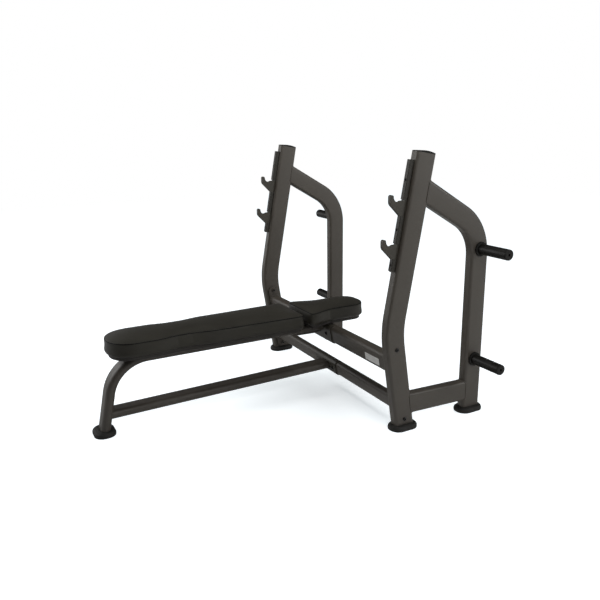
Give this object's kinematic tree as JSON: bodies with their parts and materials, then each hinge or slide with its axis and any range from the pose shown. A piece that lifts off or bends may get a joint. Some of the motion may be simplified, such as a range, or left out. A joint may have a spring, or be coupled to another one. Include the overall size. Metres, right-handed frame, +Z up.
{
  "type": "olympic bench press",
  "caption": "Flat bench press rack of bent tube with a padded bench, a separate head pad, bar catches at two heights and plate storage horns.",
  "frame": {"origin": "on the floor, at the middle of the footprint", "axes": "+Z up, +Y from the foot end of the bench towards the head end and the rear posts, +X across the rack"},
  "size_m": [1.594, 1.681, 1.207],
  "materials": {
    "frame_paint": "satin charcoal powder coat",
    "dark_paint": "satin black powder coat",
    "black_plastic": "moulded nylon, light grain",
    "rubber": "matte moulded rubber",
    "vinyl": "satin upholstery vinyl, fine grain",
    "board": "black stained plywood",
    "black_steel": "black oxide"
  },
  "bodies": {
    "root": {"left_upright": "frame_paint", "right_upright": "frame_paint", "left_rear_post": "frame_paint", "right_rear_post": "frame_paint", "left_side_rail": "frame_paint", "right_side_rail": "frame_paint", "left_upright_cap": "black_plastic", "right_upright_cap": "black_plastic", "left_front_foot": "rubber", "right_front_foot": "rubber", "left_rear_foot": "rubber", "right_rear_foot": "rubber", "bench_foot_shoe": "rubber", "upper_crossbeam": "frame_paint", "lower_crossbeam": "frame_paint", "left_end_plate": "frame_paint", "right_end_plate": "frame_paint", "frame_bolts": "black_steel", "frame_nuts": "black_steel", "bench_tube": "frame_paint", "stretcher": "frame_paint", "upper_saddle": "dark_paint", "lower_saddle": "dark_paint", "saddle_bolts": "black_steel", "bench_gusset": "frame_paint", "head_support_bar": "frame_paint", "main_pad_board": "board", "head_pad_board": "board", "main_pad": "vinyl", "head_pad": "vinyl", "pad_bolts": "black_steel", "left_hook_plate": "dark_paint", "right_hook_plate": "dark_paint", "left_lower_guard": "black_plastic", "left_middle_guard": "black_plastic", "left_upper_guard": "black_plastic", "right_lower_guard": "black_plastic", "right_middle_guard": "black_plastic", "right_upper_guard": "black_plastic", "guard_screws": "black_steel", "left_lower_horn": "dark_paint", "left_upper_horn": "dark_paint", "right_lower_horn": "dark_paint", "right_upper_horn": "dark_paint", "horn_collars": "rubber", "left_lower_horn_cap": "black_plastic", "left_upper_horn_cap": "black_plastic", "right_lower_horn_cap": "black_plastic", "right_upper_horn_cap": "black_plastic"}
  },
  "joints": []
}
